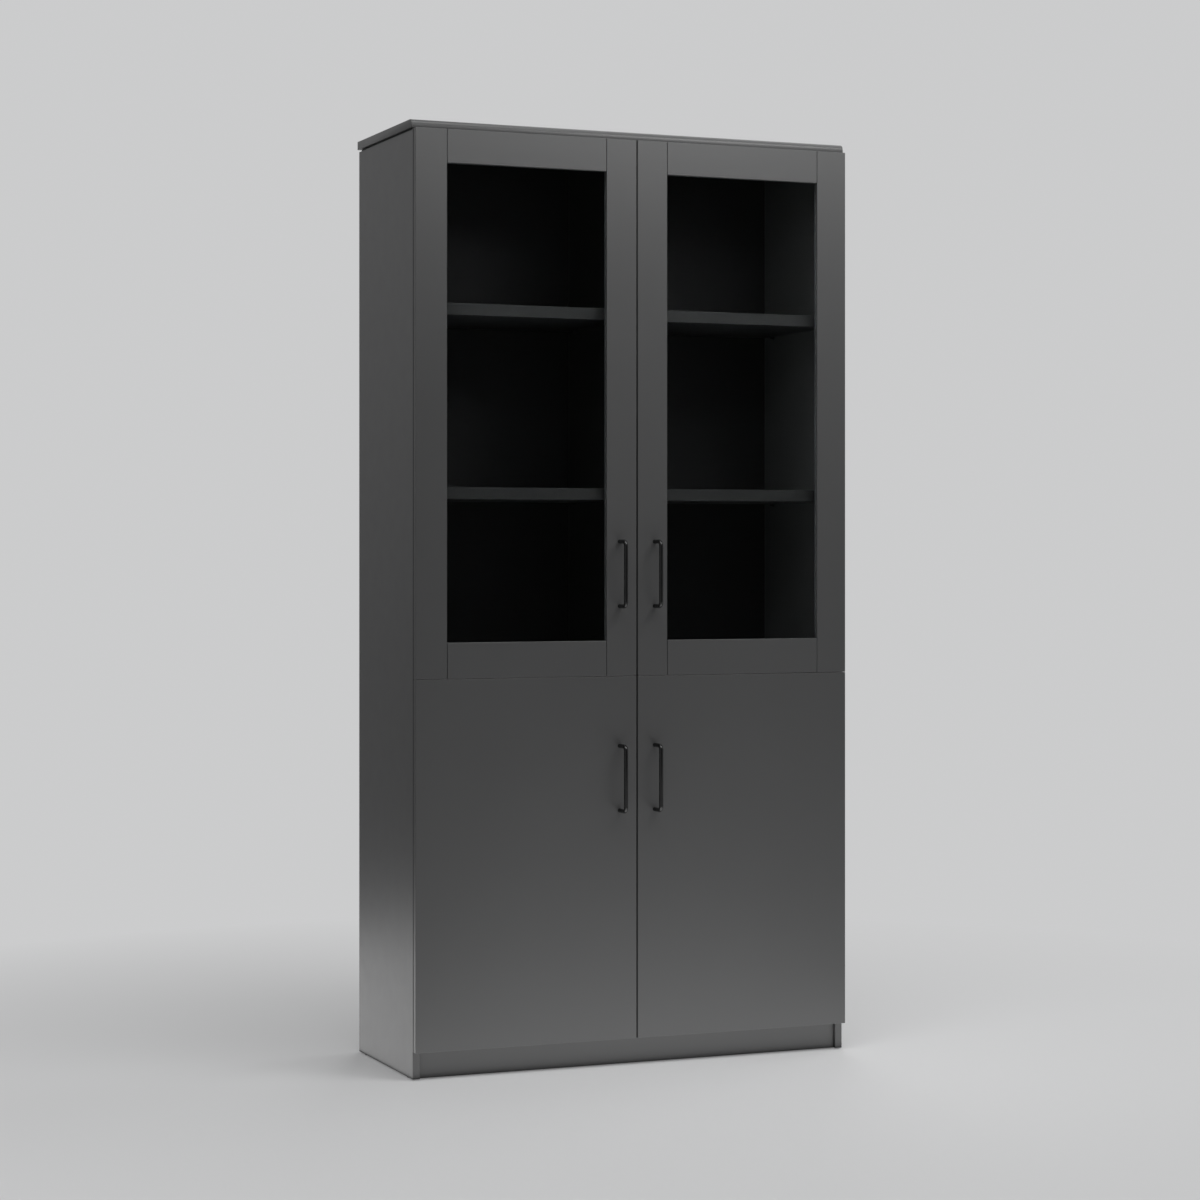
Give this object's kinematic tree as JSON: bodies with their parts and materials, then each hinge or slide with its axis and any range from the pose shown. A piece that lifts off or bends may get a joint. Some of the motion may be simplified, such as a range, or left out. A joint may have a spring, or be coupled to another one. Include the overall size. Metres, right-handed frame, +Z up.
{
  "type": "display cabinet",
  "caption": "Tall dark grey cabinet with framed glass doors over solid doors, bow handles, shelves, a centre divider and a recessed plinth.",
  "frame": {"origin": "floor level, in the middle of the overall box", "axes": "+Z up, +X to the right of someone facing the doors, doors face -Y"},
  "size_m": [1.006, 0.4259, 2],
  "materials": {
    "lacquer": "dark grey satin lacquer on board",
    "inner_board": "black matt melamine on board",
    "back_board": "black lacquered hardboard",
    "glass": "clear float glass",
    "handle_metal": "black satin coating on round bar",
    "hinge_steel": "nickel-plated pressed steel",
    "glide_nylon": "black nylon"
  },
  "bodies": {
    "carcass": {"left_side_panel": "lacquer", "right_side_panel": "lacquer", "top_board": "lacquer", "plinth_board": "lacquer", "bottom_panel": "inner_board", "middle_panel": "inner_board", "upper_divider": "inner_board", "lower_divider": "inner_board", "rear_plinth_rail": "inner_board", "upper_back_panel": "back_board", "lower_back_panel": "back_board", "front_left_glide": "glide_nylon", "rear_left_glide": "glide_nylon", "front_right_glide": "glide_nylon", "rear_right_glide": "glide_nylon", "upper_left_shelf_1": "inner_board", "upper_left_shelf_2": "inner_board", "upper_right_shelf_1": "inner_board", "upper_right_shelf_2": "inner_board", "lower_left_shelf_1": "inner_board", "lower_right_shelf_1": "inner_board", "upper_left_hinge_arm_1": "hinge_steel", "upper_left_hinge_arm_2": "hinge_steel", "upper_left_hinge_arm_3": "hinge_steel", "upper_right_hinge_arm_1": "hinge_steel", "upper_right_hinge_arm_2": "hinge_steel", "upper_right_hinge_arm_3": "hinge_steel", "lower_left_hinge_arm_1": "hinge_steel", "lower_left_hinge_arm_2": "hinge_steel", "lower_right_hinge_arm_1": "hinge_steel", "lower_right_hinge_arm_2": "hinge_steel"},
    "upper_left_door": {"upper_left_hinge_stile": "lacquer", "upper_left_meeting_stile": "lacquer", "upper_left_top_rail": "lacquer", "upper_left_bottom_rail": "lacquer", "upper_left_glass_pane": "glass", "upper_left_glazing_bead": "lacquer", "upper_left_handle": "handle_metal", "upper_left_hinge_cup_1": "hinge_steel", "upper_left_hinge_cup_2": "hinge_steel", "upper_left_hinge_cup_3": "hinge_steel"},
    "upper_right_door": {"upper_right_hinge_stile": "lacquer", "upper_right_meeting_stile": "lacquer", "upper_right_top_rail": "lacquer", "upper_right_bottom_rail": "lacquer", "upper_right_glass_pane": "glass", "upper_right_glazing_bead": "lacquer", "upper_right_handle": "handle_metal", "upper_right_hinge_cup_1": "hinge_steel", "upper_right_hinge_cup_2": "hinge_steel", "upper_right_hinge_cup_3": "hinge_steel"},
    "lower_left_door": {"lower_left_door_slab": "lacquer", "lower_left_handle": "handle_metal", "lower_left_hinge_cup_1": "hinge_steel", "lower_left_hinge_cup_2": "hinge_steel"},
    "lower_right_door": {"lower_right_door_slab": "lacquer", "lower_right_handle": "handle_metal", "lower_right_hinge_cup_1": "hinge_steel", "lower_right_hinge_cup_2": "hinge_steel"}
  },
  "joints": [
    {"name": "upper_left_door_swing", "type": "hinge", "parent": "carcass", "child": "upper_left_door", "pos_m": [-0.4924, -0.16675, 1.40735], "axis": [0, 0, -1], "range_deg": [0, 105]},
    {"name": "upper_right_door_swing", "type": "hinge", "parent": "carcass", "child": "upper_right_door", "pos_m": [0.4924, -0.16675, 1.40735], "axis": [0, 0, 1], "range_deg": [0, 105]},
    {"name": "lower_left_door_swing", "type": "hinge", "parent": "carcass", "child": "lower_left_door", "pos_m": [-0.4924, -0.16675, 0.4467], "axis": [0, 0, -1], "range_deg": [0, 105]},
    {"name": "lower_right_door_swing", "type": "hinge", "parent": "carcass", "child": "lower_right_door", "pos_m": [0.4924, -0.16675, 0.4467], "axis": [0, 0, 1], "range_deg": [0, 105]}
  ]
}
